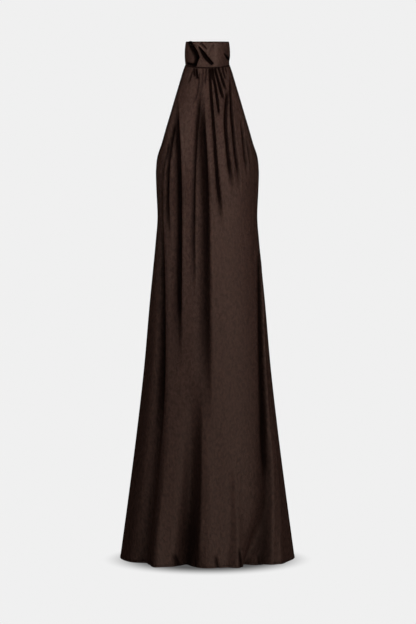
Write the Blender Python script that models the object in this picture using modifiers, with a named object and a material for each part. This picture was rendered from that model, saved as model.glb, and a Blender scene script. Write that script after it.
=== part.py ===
"""A long backless halter dress in satin, held open as when it is worn.

Two cut panels and a neckband: the front hangs in gathers from the neckband and
wraps round under the arms, the back starts low in a scooped edge, and two side
seams join them down to the hem. The neckband closes behind the neck with
covered buttons in loops.

Frame: metres, +Z up, -Y the front, +X the right of a viewer who faces the front.
The origin is the centre of the neckband, where the neck holds the dress.
"""

import bpy
from collections import namedtuple
from math import asin, cos, exp, hypot, pi, radians, sin

MM = 0.001
SEAM_GAP = 0.3 * MM
CLOTH = 1.2 * MM

# Neckband: a folded double layer, lower in front than behind.
BAND_CLOTH = 2.0 * MM
BAND_HALF_WIDTH = 60.4 * MM
BAND_HALF_DEPTH = 59.0 * MM
BAND_BULGE = 2.6 * MM
BAND_TAPER = 1.1 * MM
BAND_TOP = 30.0 * MM
BAND_TOP_TILT = 11.0 * MM
BAND_FOOT = -33.0 * MM
BAND_FOOT_TILT = 19.0 * MM
BAND_SLIT = 1.2 * MM
BAND_COLUMNS = 64
BAND_ROWS = 6

# Lengths down the panels, from the neckband's side seam to the hem.
PANEL_TOP = 33.0
HEM = 1386.0
UNDERARM = 305.0
BACK_EDGE = 512.0
FRONT_COLUMNS = 72
FRONT_ROWS = 37
FRONT_ROW_GROWTH = 1.55
BACK_COLUMNS = 34
BACK_ROWS = 24

# Closure behind the neck.
BUTTON_RADIUS = 5.5 * MM
BUTTON_DOME = 3.4 * MM
SHANK_RADIUS = 1.7 * MM
SHANK_HEIGHT = 2.6 * MM
BUTTON_ASIDE = 7.0 * MM
BUTTON_HEIGHTS = {"upper": 26.0 * MM, "lower": 2.0 * MM}
LOOP_THREAD = 0.8 * MM
LOOP_FOOT = 6.0 * MM

# Sections of the dress. drop: millimetres below the origin at the side;
# half_width: as seen from the front; front, back: depths from the origin;
# sweep: how far round, in degrees from the middle, the front panel reaches.
Section = namedtuple("Section", "drop half_width front back sweep")
SECTIONS = (
    Section(33, 60.4, 59, 62, 90),
    Section(57, 67.9, 65, 66, 79),
    Section(79, 73.8, 71, 70, 72),
    Section(125, 86.5, 85, 78, 63),
    Section(170, 99.0, 98, 82, 60),
    Section(214, 111.8, 110, 85, 61),
    Section(257, 124.7, 118, 87, 68),
    Section(285, 135.6, 121, 88, 79),
    Section(305, 139.9, 122, 88, 90),
    Section(340, 141.4, 120, 86, 90),
    Section(384, 140.0, 113, 83, 90),
    Section(450, 137.2, 105, 84, 90),
    Section(516, 141.9, 107, 99, 90),
    Section(604, 150.3, 113, 121, 90),
    Section(692, 159.0, 118, 129, 90),
    Section(868, 174.4, 128, 136, 90),
    Section(1044, 194.4, 142, 150, 90),
    Section(1220, 217.0, 160, 168, 90),
    Section(1386, 239.5, 178, 186, 90),
)

# Folds. start, end: millimetres below the origin; across_1 to across_4: how far
# right of the middle the fold runs, at its start, each third and its end; ramp: how
# far it takes to reach its depth; depth and width at the start and at the end. A
# negative depth stands out.
Fold = namedtuple("Fold", "start end across_1 across_2 across_3 across_4 ramp "
                          "depth depth_end width width_end")
FRONT_FOLDS = (
    # Gathers below the neckband
    Fold(40, 100, -41, -43, -46, -50, 8, 3.0, 3.0, 3.6, 4.0),
    Fold(44, 110, -28, -29, -31, -34, 9, 3.6, 3.6, 3.6, 4.0),
    Fold(46, 160, -17, -22, -30, -40, 16, 4.0, 4.0, 3.6, 4.5),
    Fold(48, 120, -5, -6, -8, -10, 10, 3.0, 3.0, 3.6, 4.0),
    Fold(48, 185, 15, 20, 26, 32, 16, 4.5, 4.5, 3.6, 4.5),
    Fold(46, 140, 26, 31, 36, 43, 13, 5.0, 5.5, 3.6, 4.5),
    Fold(44, 112, 38, 41, 44, 48, 9, 3.6, 4.5, 3.4, 4.0),
    # Folds that hang from the gathers over the chest
    Fold(112, 860, -84, -76, -77, -82, 160, 14, 11, 7.0, 12),
    Fold(196, 500, -91, -104, -108, -106, 40, 6, 8, 5.5, 7),
    Fold(238, 485, -105, -121, -124, -121, 40, 5, 5, 5.5, 6),
    Fold(66, 690, -16, -32, -38, -38, 130, 7, 8, 5, 8),
    Fold(84, 960, -17, -5, -7, -3, 180, 14, 12, 7.0, 14),
    Fold(49, 500, 6, 16, 27, 41, 30, 5, 7, 4.5, 6.5),
    Fold(108, 395, 56, 50, 58, 70, 40, 8, 7, 5.5, 6),
    Fold(66, 385, 63, 66, 76, 88, 60, 6, 6, 4.5, 6),
    Fold(180, 350, 91, 97, 103, 109, 50, 6, 5, 5, 6),
    # Folds that deepen from the hips to the hem
    Fold(470, 1386, -129, -125, -142, -168, 110, 12, 24, 9, 23),
    Fold(530, 1330, 138, 142, 150, 151, 120, 13, 17, 9, 15),
    Fold(790, 1386, -30, -37, -48, -68, 240, 14, 55, 19, 28),
    Fold(1120, 1386, 134, 124, 114, 109, 110, 3, 40, 18, 18),
    Fold(1160, 1386, 50, 51, 51, 52, 60, 2, 13, 11, 11),
    # Ridges that stand out between them at the hem
    Fold(780, 1386, -84, -96, -114, -129, 160, -2, -21, 24, 19),
    Fold(1060, 1386, 64, 70, 76, 80, 100, -1, -15, 20, 13),
    Fold(860, 1386, 158, 174, 184, 184, 160, -4, -12, 17, 24),
)
BACK_FOLDS = (
    Fold(560, 1386, -14, -20, -34, -40, 130, 8, 36, 11, 28),
    Fold(620, 1386, 52, 50, 62, 78, 130, 9, 40, 11, 28),
    Fold(520, 1386, -98, -104, -112, -134, 130, 9, 32, 11, 27),
    Fold(560, 1386, 116, 124, 140, 168, 130, 9, 26, 11, 24),
    Fold(900, 1386, 16, 18, 20, 20, 140, -3, -14, 20, 26),
    Fold(900, 1386, -72, -76, -84, -90, 140, -3, -16, 20, 24),
    Fold(920, 1386, 96, 102, 112, 126, 140, -3, -16, 20, 24),
)
FADE_OUT = 0.34
SIDE_CALM = 0.88
GATHER_START = 8.0

SATIN = ("dark brown satin", (0.031, 0.016, 0.012, 1.0), 0.46)
SATIN_TRIM = ("dark brown satin trim", (0.033, 0.017, 0.013, 1.0), 0.42)


def clear_scene():
    """Remove the objects that a new file starts with."""
    for old in list(bpy.data.objects):
        bpy.data.objects.remove(old, do_unlink=True)


def material(name, colour, roughness):
    """One Principled finish."""
    found = bpy.data.materials.get(name)
    if found:
        return found
    made = bpy.data.materials.new(name)
    made.use_nodes = True
    shader = made.node_tree.nodes["Principled BSDF"]
    shader.inputs["Base Color"].default_value = colour
    shader.inputs["Roughness"].default_value = roughness
    shader.inputs["Metallic"].default_value = 0.0
    return made


def ease(value):
    """Smooth step from 0 to 1."""
    value = min(max(value, 0.0), 1.0)
    return value * value * (3.0 - 2.0 * value)


def blend_four(values, part):
    """A curve through four values, evenly spaced from part 0 to part 1."""
    place = min(max(part, 0.0), 1.0) * 3.0
    index = min(int(place), 2)
    rest = place - index
    before = values[max(index - 1, 0)]
    first, second = values[index], values[index + 1]
    after = values[min(index + 2, 3)]
    slope_1 = (second - before) * 0.5
    slope_2 = (after - first) * 0.5
    square, cube = rest * rest, rest ** 3
    return ((2 * cube - 3 * square + 1) * first + (cube - 2 * square + rest) * slope_1
            + (3 * square - 2 * cube) * second + (cube - square) * slope_2)


def section_slope(column, index):
    """Slope of one column of the sections at a row, level where the column turns."""
    low = SECTIONS[max(index - 1, 0)]
    middle = SECTIONS[index]
    high = SECTIONS[min(index + 1, len(SECTIONS) - 1)]
    rise = getattr(middle, column) - getattr(low, column)
    next_rise = getattr(high, column) - getattr(middle, column)
    if rise * next_rise <= 0 and 0 < index < len(SECTIONS) - 1:
        return 0.0
    return (rise + next_rise) / (high.drop - low.drop)


def section(column, drop):
    """One column of the sections at any drop, as a smooth curve."""
    drop = min(max(drop, SECTIONS[0].drop), SECTIONS[-1].drop)
    index = 0
    while index < len(SECTIONS) - 2 and SECTIONS[index + 1].drop < drop:
        index += 1
    upper, lower = SECTIONS[index], SECTIONS[index + 1]
    span = lower.drop - upper.drop
    rest = (drop - upper.drop) / span
    square, cube = rest * rest, rest ** 3
    return ((2 * cube - 3 * square + 1) * getattr(upper, column)
            + (cube - 2 * square + rest) * span * section_slope(column, index)
            + (3 * square - 2 * cube) * getattr(lower, column)
            + (cube - square) * span * section_slope(column, index + 1))


def fold_depth(folds, drop, turn, half_width, depth):
    """How far the folds push the cloth in at one place; turn is 0 at the middle."""
    total = 0.0
    for fold in folds:
        if not fold.start < drop <= fold.end:
            continue
        part = (drop - fold.start) / (fold.end - fold.start)
        stations = (fold.across_1, fold.across_2, fold.across_3, fold.across_4)
        across = blend_four(stations, part)
        middle = asin(min(max(across / half_width, -1.0), 1.0))
        per_turn = hypot(half_width * cos(middle), depth * sin(middle))
        width = fold.width + (fold.width_end - fold.width) * part
        away = (turn - middle) * per_turn / width
        if abs(away) > 3.0:
            continue
        strength = ease((drop - fold.start) / fold.ramp)
        if fold.end < HEM:
            strength *= ease((1.0 - part) / FADE_OUT)
        reach = fold.depth + (fold.depth_end - fold.depth) * part * part
        total += reach * strength * exp(-away * away)
    return total


def front_point(across, down):
    """A point of the front panel; across from -1 to 1, down from 0 to 1."""
    drop = PANEL_TOP + (HEM - PANEL_TOP) * down
    sweep = radians(section("sweep", drop))
    turn = across * sweep
    half_width = section("half_width", drop) / sin(sweep)
    depth = section("front", drop)
    sag = BAND_FOOT_TILT / MM * cos(across * pi / 2) * (1.0 - ease((drop - PANEL_TOP) / 270.0))
    real_drop = drop + sag
    push = fold_depth(FRONT_FOLDS, real_drop, turn, half_width, depth)
    push *= 1.0 - ease((abs(across) - SIDE_CALM) / (1.0 - SIDE_CALM))
    push *= ease((drop - PANEL_TOP) / GATHER_START)
    out_x, out_y = depth * sin(turn), -half_width * cos(turn)
    length = hypot(out_x, out_y)
    x = half_width * sin(turn) - push * out_x / length
    y = -depth * cos(turn) - push * out_y / length
    return x * MM, y * MM, -real_drop * MM


def back_top(across):
    """Drop of the scooped back edge; across from -1 to 1."""
    return UNDERARM + (BACK_EDGE - UNDERARM) * cos(across * pi / 2) ** 0.62


def back_point(across, down):
    """A point of the back panel; across from -1 (left) to 1, down from 0 to 1."""
    top = back_top(across)
    drop = top + (HEM - top) * down
    half_width = section("half_width", drop)
    depth = section("back", drop)
    turn = across * pi / 2
    push = fold_depth(BACK_FOLDS, drop, turn, half_width, depth)
    push *= 1.0 - ease((abs(across) - SIDE_CALM) / (1.0 - SIDE_CALM))
    out_x, out_y = depth * sin(turn), half_width * cos(turn)
    length = hypot(out_x, out_y)
    x = half_width * sin(turn) - push * out_x / length
    y = depth * cos(turn) - push * out_y / length
    return x * MM, y * MM, -drop * MM


def band_radius(part):
    """Half width and half depth of the neckband; part 0 at its foot, 1 at its top."""
    change = BAND_BULGE * 4.0 * part * (1.0 - part) - BAND_TAPER * part
    return BAND_HALF_WIDTH + change, BAND_HALF_DEPTH + change


def band_point(turn, part):
    """A point of the neckband's outer face; turn is 0 in front, pi behind."""
    half_width, half_depth = band_radius(part)
    foot = BAND_FOOT - BAND_FOOT_TILT * cos(turn)
    top = BAND_TOP - BAND_TOP_TILT * cos(turn)
    return half_width * sin(turn), -half_depth * cos(turn), foot + (top - foot) * part


def sheet_object(name, columns, rows, point, thickness, finish):
    """A grid of points(across, down), thickened inwards into a closed wall."""
    points = [point(column, row) for row in range(rows + 1) for column in range(columns + 1)]
    faces = []
    for row in range(rows):
        for column in range(columns):
            corner = row * (columns + 1) + column
            below = corner + columns + 1
            faces.append((corner, below, below + 1, corner + 1))
    mesh = bpy.data.meshes.new(name)
    mesh.from_pydata(points, [], faces)
    mesh.update()
    mesh.shade_smooth()
    made = bpy.data.objects.new(name, mesh)
    mesh.materials.append(material(*finish))
    wall = made.modifiers.new("cloth thickness", "SOLIDIFY")
    wall.thickness = thickness
    wall.offset = -1.0
    wall.use_even_offset = False
    return made


def make_front():
    """The front panel, gathered into the neckband, in one piece down to the hem."""
    side_trim = SEAM_GAP / 2
    def point(column, row):
        across = 2.0 * column / FRONT_COLUMNS - 1.0
        down = (row / FRONT_ROWS) ** FRONT_ROW_GROWTH
        x, y, z = front_point(across, down)
        if column in (0, FRONT_COLUMNS):
            y -= side_trim
        return x, y, z - SEAM_GAP
    return sheet_object("front_panel", FRONT_COLUMNS, FRONT_ROWS, point, CLOTH, SATIN)


def make_back():
    """The back panel, from its low scooped edge down to the hem."""
    side_trim = SEAM_GAP / 2
    def point(column, row):
        across = 1.0 - 2.0 * column / BACK_COLUMNS
        x, y, z = back_point(across, row / BACK_ROWS)
        if column in (0, BACK_COLUMNS):
            y += side_trim
        return x, y, z - SEAM_GAP
    return sheet_object("back_panel", BACK_COLUMNS, BACK_ROWS, point, CLOTH, SATIN)


def make_neckband():
    """The neckband, an open ring whose ends meet behind the neck."""
    half_slit = BAND_SLIT / 2 / BAND_HALF_WIDTH
    def point(column, row):
        turn = (pi - half_slit) * (2.0 * column / BAND_COLUMNS - 1.0)
        return band_point(turn, 1.0 - row / BAND_ROWS)
    return sheet_object("neckband", BAND_COLUMNS, BAND_ROWS, point, BAND_CLOTH, SATIN_TRIM)


def back_face(x, height):
    """Depth of the neckband's outer face behind the neck, at one place on it."""
    foot = BAND_FOOT + BAND_FOOT_TILT
    top = BAND_TOP + BAND_TOP_TILT
    half_width, half_depth = band_radius((height - foot) / (top - foot))
    return half_depth * cos(asin(x / half_width))


def make_button(which, height):
    """A covered button: a turned dome on a shank, facing away from the neck."""
    rim = BUTTON_RADIUS
    profile = (
        (0.0, SHANK_HEIGHT + BUTTON_DOME),
        (rim * 0.5, SHANK_HEIGHT + BUTTON_DOME * 0.88),
        (rim * 0.87, SHANK_HEIGHT + BUTTON_DOME * 0.52),
        (rim, SHANK_HEIGHT + BUTTON_DOME * 0.2),
        (rim * 0.82, SHANK_HEIGHT),
        (SHANK_RADIUS, SHANK_HEIGHT),
        (SHANK_RADIUS, 0.0),
        (0.0, 0.0),
    )
    mesh = bpy.data.meshes.new("button_" + which)
    edges = [(index, index + 1) for index in range(len(profile) - 1)]
    mesh.from_pydata([(radius, 0.0, z) for radius, z in profile], edges, [])
    mesh.materials.append(material(*SATIN_TRIM))
    made = bpy.data.objects.new("button_" + which, mesh)
    turned = made.modifiers.new("turned", "SCREW")
    turned.steps = 16
    turned.render_steps = 16
    turned.use_merge_vertices = True
    turned.merge_threshold = 0.00001
    turned.use_smooth_shade = True
    made.rotation_euler = (-pi / 2, 0.0, 0.0)
    made.location = (BUTTON_ASIDE, back_face(BUTTON_ASIDE, height) + SEAM_GAP, height)
    return made


def make_loop(which, height):
    """A cord loop, sewn on the left end of the neckband, round the button's shank."""
    reach = SHANK_RADIUS + LOOP_THREAD + SEAM_GAP
    curve = bpy.data.curves.new("button_loop_" + which, "CURVE")
    curve.dimensions = "3D"
    curve.bevel_depth = LOOP_THREAD
    curve.bevel_resolution = 2
    curve.use_fill_caps = True
    arc = [radians(angle) for angle in range(-90, 91, 30)]
    path = [(-LOOP_FOOT, -reach)]
    path += [(BUTTON_ASIDE + reach * cos(angle), reach * sin(angle)) for angle in arc]
    path += [(-LOOP_FOOT, reach)]
    spline = curve.splines.new("POLY")
    spline.points.add(len(path) - 1)
    for place, (x, up) in zip(spline.points, path):
        y = back_face(x, height + up) + LOOP_THREAD + SEAM_GAP
        place.co = (x, y, height + up, 1.0)
    curve.materials.append(material(*SATIN_TRIM))
    return bpy.data.objects.new("button_loop_" + which, curve)


def main():
    """Build the dress in its own collection."""
    clear_scene()
    dress = bpy.data.collections.new("backless dress")
    bpy.context.scene.collection.children.link(dress)
    pieces = [make_neckband(), make_front(), make_back()]
    for which, height in BUTTON_HEIGHTS.items():
        pieces.append(make_button(which, height))
        pieces.append(make_loop(which, height))
    for piece in pieces:
        dress.objects.link(piece)


main()
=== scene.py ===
"""The looks of a long backless halter dress in dark brown satin, empty and shaped as on a wearer.
"""

from collections import namedtuple
from math import asin, cos, pi, radians, sin

import bpy
import numpy as np
from mathutils import Matrix, Vector


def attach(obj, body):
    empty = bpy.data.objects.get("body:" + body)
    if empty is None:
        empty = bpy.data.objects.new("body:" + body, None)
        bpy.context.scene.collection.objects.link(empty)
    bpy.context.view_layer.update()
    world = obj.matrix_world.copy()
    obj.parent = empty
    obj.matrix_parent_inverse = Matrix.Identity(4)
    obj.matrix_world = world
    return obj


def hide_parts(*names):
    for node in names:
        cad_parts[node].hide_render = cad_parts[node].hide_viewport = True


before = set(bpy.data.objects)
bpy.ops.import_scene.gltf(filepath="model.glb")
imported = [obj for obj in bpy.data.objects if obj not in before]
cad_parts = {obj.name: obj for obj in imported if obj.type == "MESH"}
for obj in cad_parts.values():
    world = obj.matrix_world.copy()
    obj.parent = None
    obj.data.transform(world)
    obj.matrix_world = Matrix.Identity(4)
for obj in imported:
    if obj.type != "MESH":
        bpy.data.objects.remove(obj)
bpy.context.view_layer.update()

MM = 0.001
CLOTH = 0.8 * MM
BAND_CLOTH = 1.8 * MM
SEAM_GAP = 0.3 * MM

# Camera, as the photograph was taken: level, from 4 m in front of the dress.
# The photograph is 416 by 624 pixels, and 1 pixel is 2.75 mm at the dress.
PHOTO_WIDTH = 416
PHOTO_HEIGHT = 624
PIXEL = 2.75 * MM
DRESS_MIDDLE_PIXEL = 207.4
ORIGIN_PIXEL = 52.5
CAMERA_DISTANCE = 4.0
SENSOR = 36.0

# Lengths down the dress, in millimetres below the origin; the front's top edge hangs as
# the neckband's foot does, and NECK_SAG_REACH below it that has faded out.
PANEL_TOP = 33.0
HEM = 1386.0
UNDERARM = 305.0
BACK_EDGE = 512.0
FLOOR_DROP = 1392.0
NECK_SAG_REACH = 270.0

# How round the low back edge is: 1 is a cosine, and less is flatter at its lowest point.
SCOOP_ROUND = 0.62

# Neckband, in millimetres: its edges are rounded and given painted shade over these
# widths, and its creases end CREASE_END_WIDTH from them and their painted shade is
# darkest from CREASE_DARK_DEPTH on.
BAND_HALF_WIDTH = 60.4
BAND_HALF_DEPTH = 59.0
BAND_BULGE = 2.6
BAND_TAPER = 1.1
BAND_TOP = 30.0
BAND_TOP_TILT = 11.0
BAND_FOOT = -33.0
BAND_FOOT_TILT = 19.0
BAND_SLIT = 1.2
BAND_EDGE_ROUND = 1.6
BAND_EDGE_SHADE = 0.9
BAND_EDGE_SHADE_WIDTH = 3.6
CREASE_END_WIDTH = 3.0
CREASE_DARK_DEPTH = 3.0

# Closure behind the neck, in millimetres. A button's lip is a part of its dome's height,
# and the flat of its underside is a part of its radius.
BUTTON_RADIUS = 5.5
BUTTON_DOME = 3.4
BUTTON_LIP_PART = 0.2
BUTTON_UNDERSIDE_PART = 0.82
SHANK_RADIUS = 1.7
SHANK_HEIGHT = 2.6
BUTTON_ASIDE = 7.0
BUTTON_HEIGHTS = {"upper": 26.0, "lower": 2.0}
LOOP_THREAD = 0.8
LOOP_FOOT = 6.0
BUTTON_STEPS = 48

# Narrow hems along the free edges, in millimetres: how wide they are turned up, how far
# the turned-up cloth stands out and over what width, the painted shade lines at its fold
# and at the free edge, and the rows of points that draw it, by their distance to the edge.
# NO_ARMHOLE stands for the distance to the armhole where there is none.
HEM_FOLD = 5.0
HEM_STEP = 0.4
HEM_STEP_WIDTH = 1.2
HEM_LINE_WIDTH = 1.3
HEM_LINE_SHADE = 0.6
HEM_EDGE_WIDTH = 2.0
HEM_EDGE_SHADE = 0.5
HEM_ROWS = (9.0, 7.4, 6.4, 5.7, 5.0, 4.3, 3.4, 2.4, 1.4, 0.7)
NO_ARMHOLE = 100.0

# Sewing, in millimetres; THREAD_LIFT is a part of the thread's radius.
STITCH_LENGTH = 2.4
STITCH_SPACE = 0.9
THREAD_RADIUS = 0.22
THREAD_LIFT = 0.4
BAND_TOP_STITCH = 9.0
BAND_FOOT_STITCH = 2.2
ARMHOLE_SEWN_FROM = 8.0
ARMHOLE_SEWN_TO = 4.0

# How far across each panel its hem is sewn, from 0 to 1, and how far short of the slit
# the neckband's sewing ends, in radians.
FRONT_SEWN = 0.995
BACK_SEWN = 0.99
BAND_UNSEWN = 0.06

# How fine the cloth and the sewn lines are drawn.
FRONT_COLUMNS = 208
FRONT_ROWS = 190
BACK_COLUMNS = 170
BACK_ROWS = 150
BAND_COLUMNS = 260
BAND_ROWS = 40
FRONT_LINE_POINTS = 600
ARMHOLE_LINE_POINTS = 200
BACK_LINE_POINTS = 500
BAND_LINE_POINTS = 500
CREASE_POINTS = 60

# Sections through the dress, in millimetres: how far down each one is, half its width
# from in front, how far it reaches forward and back from its middle, and how far round
# the front panel goes on each side, in degrees.
Section = namedtuple("Section", "drop half_width front back sweep")
SECTIONS = (
    Section(33, 60.4, 59, 62, 90),
    Section(57, 67.9, 65, 66, 79),
    Section(79, 73.8, 71, 70, 72),
    Section(125, 86.5, 85, 78, 63),
    Section(170, 99.0, 98, 82, 60),
    Section(214, 111.8, 110, 85, 61),
    Section(257, 124.7, 118, 87, 68),
    Section(285, 135.6, 121, 88, 79),
    Section(305, 139.9, 122, 88, 90),
    Section(340, 141.4, 120, 86, 90),
    Section(384, 140.0, 113, 83, 90),
    Section(450, 137.2, 105, 84, 90),
    Section(516, 141.9, 107, 99, 90),
    Section(604, 150.3, 113, 121, 90),
    Section(692, 159.0, 118, 129, 90),
    Section(868, 174.4, 128, 136, 90),
    Section(1044, 194.4, 142, 150, 90),
    Section(1220, 217.0, 160, 168, 90),
    Section(1386, 239.5, 178, 186, 90),
)

# Folds, in millimetres. start, end: drops; across_1 to across_4: how far right of
# the middle the fold runs, at its start, each third and its end; ramp: how far it
# takes to reach its depth; depth; left and right: how wide its two sides are. Depth
# and widths are given at the start and the end. A negative depth stands out. dark: how
# much painted shade darkens the trough, from 0 to 1.
Fold = namedtuple("Fold", "start end across_1 across_2 across_3 across_4 ramp "
                          "depth depth_end left left_end right right_end dark")
FRONT_FOLDS = (
    # Gathers below the neckband
    Fold(52, 96, -41, -44, -48, -53, 10, 5.0, 4.0, 3.0, 4.0, 4.0, 5.0, 0.8),
    Fold(50, 86, -31, -30, -28, -26, 7, 8.5, 8.5, 3.6, 4.0, 4.2, 4.6, 1.0),
    Fold(48, 78, -37, -37, -36, -35, 5, 4.5, 3.5, 2.4, 2.6, 3.0, 3.0, 1.0),
    Fold(56, 165, -20, -24, -30, -42, 20, 3.0, 4.5, 2.5, 4.0, 3.4, 4.6, 0.5),
    Fold(50, 104, -4, -4, -5, -6, 6, 3.4, 3.0, 2.3, 2.5, 2.8, 3.0, 0.6),
    Fold(50, 120, -12, -13, -14, -16, 8, 3.0, 3.0, 2.3, 3.0, 2.8, 3.2, 0.5),
    Fold(50, 90, 12, 12, 13, 14, 6, 5.0, 4.0, 2.3, 2.5, 3.0, 3.2, 0.8),
    Fold(50, 196, 14, 21, 28, 32, 8, 9.5, 7.5, 2.6, 3.6, 3.2, 4.2, 1.0),
    Fold(49, 146, 21, 28, 37, 45, 6, 10.0, 10.0, 2.8, 4.2, 3.4, 4.4, 1.0),
    Fold(47, 116, 31, 38, 45, 52, 6, 9.5, 9.0, 2.8, 3.8, 3.4, 4.2, 1.0),
    Fold(44, 84, 42, 44, 47, 51, 5, 7.0, 6.0, 2.6, 3.2, 3.2, 3.8, 0.9),
    Fold(44, 64, 50, 51, 52, 54, 4, 4.0, 4.0, 2.2, 2.6, 2.8, 3.0, 0.8),
    # Folds that hang from the gathers over the chest
    Fold(108, 870, -85, -76, -77, -81, 160, 15, 14, 13, 18, 7, 11, 0.9),
    Fold(196, 520, -91, -104, -108, -106, 40, 11, 14, 6, 10, 5, 8, 0.8),
    Fold(238, 540, -105, -121, -124, -121, 40, 8, 8, 5, 8, 5, 7, 0.6),
    Fold(66, 700, -16, -32, -38, -38, 140, 6, 9, 5, 11, 3.8, 5.8, 0.6),
    Fold(84, 1040, -17, -5, -6, -7, 190, 14, 15, 15, 20, 7, 18, 0.9),
    Fold(49, 500, 6, 16, 27, 41, 10, 8, 11, 3.2, 7.0, 3.6, 5.4, 0.75),
    Fold(104, 400, 56, 50, 58, 70, 40, 10, 9, 4.4, 6, 4.8, 5.6, 0.75),
    Fold(62, 390, 63, 66, 76, 88, 50, 8, 9, 3.8, 5.2, 4.2, 5.4, 0.75),
    Fold(180, 350, 91, 97, 103, 109, 50, 8, 7, 3.8, 5, 4.8, 5.4, 0.6),
    Fold(232, 315, 105, 109, 113, 117, 25, 6, 5, 3.2, 4, 4, 4.6, 0.5),
    # Folds that deepen from the hips to the hem
    Fold(440, 1120, -127, -125, -127, -138, 80, 12, 14, 11, 16, 14, 20, 1.0),
    Fold(700, 1386, -124, -133, -151, -177, 200, 9, 22, 16, 24, 14, 34, 0.25),
    Fold(520, 1200, 142, 147, 154, 163, 80, 15, 17, 7, 16, 8, 11, 1.0),
    Fold(960, 1386, 156, 164, 162, 155, 160, 8, 17, 24, 32, 11, 15, 0.8),
    Fold(840, 1386, -36, -43, -52, -66, 260, 18, 46, 26, 18, 20, 44, 0.45),
    Fold(1190, 1386, 150, 142, 128, 109, 120, 3, 34, 24, 12, 26, 32, 0.0),
    Fold(1110, 1386, 56, 60, 60, 54, 60, 3, 5, 10, 12, 12, 16, 0.1),
    # Ridges that stand out between them at the hem
    Fold(780, 1386, -84, -96, -114, -129, 160, -2, -20, 24, 19, 24, 20, 0),
    Fold(1060, 1386, 64, 70, 76, 80, 100, -1, -12, 22, 22, 18, 17, 0),
    Fold(860, 1386, 162, 178, 189, 190, 160, -4, -12, 14, 21, 18, 27, 0),
    # Puckers where the hem is sewn up
    Fold(1352, 1386, -150, -151, -151, -152, 14, 2.4, 3.4, 4.0, 5.0, 3.4, 4.0, 0.7),
    Fold(1348, 1386, -89, -87, -84, -83, 14, 3.4, 4.4, 5.0, 7.0, 3.6, 4.2, 1.0),
    Fold(1356, 1386, -33, -33, -32, -32, 12, 2.0, 2.6, 2.8, 3.2, 2.6, 3.0, 0.6),
    Fold(1350, 1386, 20, 23, 26, 28, 14, 3.2, 4.2, 4.5, 7.0, 3.6, 4.2, 1.0),
    Fold(1328, 1386, 82, 84, 86, 89, 24, 4.2, 5.0, 4.0, 6.0, 3.6, 4.2, 1.0),
    Fold(1354, 1386, 142, 142, 143, 143, 12, 2.4, 3.0, 3.0, 3.4, 3.0, 3.4, 0.5),
)
BACK_FOLDS = (
    Fold(560, 1386, -14, -20, -34, -40, 130, 8, 36, 12, 30, 12, 40, 0.8),
    Fold(620, 1386, 52, 50, 62, 78, 130, 9, 40, 10, 22, 14, 46, 0.9),
    Fold(520, 1386, -98, -104, -112, -134, 130, 10, 32, 10, 30, 11, 34, 0.8),
    Fold(560, 1386, 116, 124, 140, 168, 130, 9, 26, 9, 20, 12, 36, 0.8),
    Fold(900, 1386, 16, 18, 20, 20, 140, -3, -14, 20, 26, 20, 26, 0),
    Fold(900, 1386, -72, -76, -84, -90, 140, -3, -16, 20, 24, 20, 24, 0),
    Fold(920, 1386, 96, 102, 112, 126, 140, -3, -16, 20, 24, 20, 24, 0),
    Fold(540, 960, 20, 22, 26, 30, 60, 8, 6, 5, 8, 7, 11, 0.6),
    Fold(530, 900, -56, -60, -62, -66, 60, 9, 7, 5, 8, 6, 10, 0.6),
    Fold(570, 1020, 86, 88, 92, 96, 60, 8, 7, 5, 9, 7, 11, 0.6),
)

# The form of a fold. FADE_OUT: the last part of its length, over which it ends.
# SIDE_CALM: how far across a panel folds start to calm down towards the side seam.
# FOLD_POINT: 2 is a round trough, and less is a sharper one. HEM_SOFT: the last
# millimetres above the hem, over which its crisp right side turns soft. SOFT_RIGHT: how
# wide that soft side is, as a part of the crisp one.
FADE_OUT = 0.30
SIDE_CALM = 0.90
FOLD_POINT = 1.7
HEM_SOFT = 70.0
SOFT_RIGHT = 0.62

# The lip that a fold raises on its right: its height as a part of the fold's depth, and
# its place and width in widths of the fold's right side.
LIP = 0.14
LIP_PLACE = 1.45
LIP_WIDTH = 0.55

# Painted shade in troughs and creases: how much colour the darkest trough of the panels and
# crease of the neckband loses to it, the width in millimetres up to which a fold is
# fully dark, and the steepest side that counts, as its depth over its width.
HOLLOW_SHADE = 0.80
CREASE_SHADE = 0.9
PAINTED_SHADE_WIDTH = 22.0
STEEPEST = 2.0

# The side seams: how much painted shade darkens the cloth along them, where it turns
# away from the light, and over what width, in millimetres.
SEAM_SHADE = 0.8
SEAM_SHADE_WIDTH = 10.0

# The gathered top edge of the front, in millimetres: how far it goes up behind the
# neckband, how far in, and over what depth the gathers and the painted shade under the
# neckband begin; TUCK_EARLY is the part of TUCK_UP by which the edge turns in below the
# neckband.
TUCK_UP = 3.0
TUCK_IN = 2.2
TUCK_EARLY = 0.35
GATHER_START = 4.0
GATHER_SHADE_WIDTH = 3.0

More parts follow.
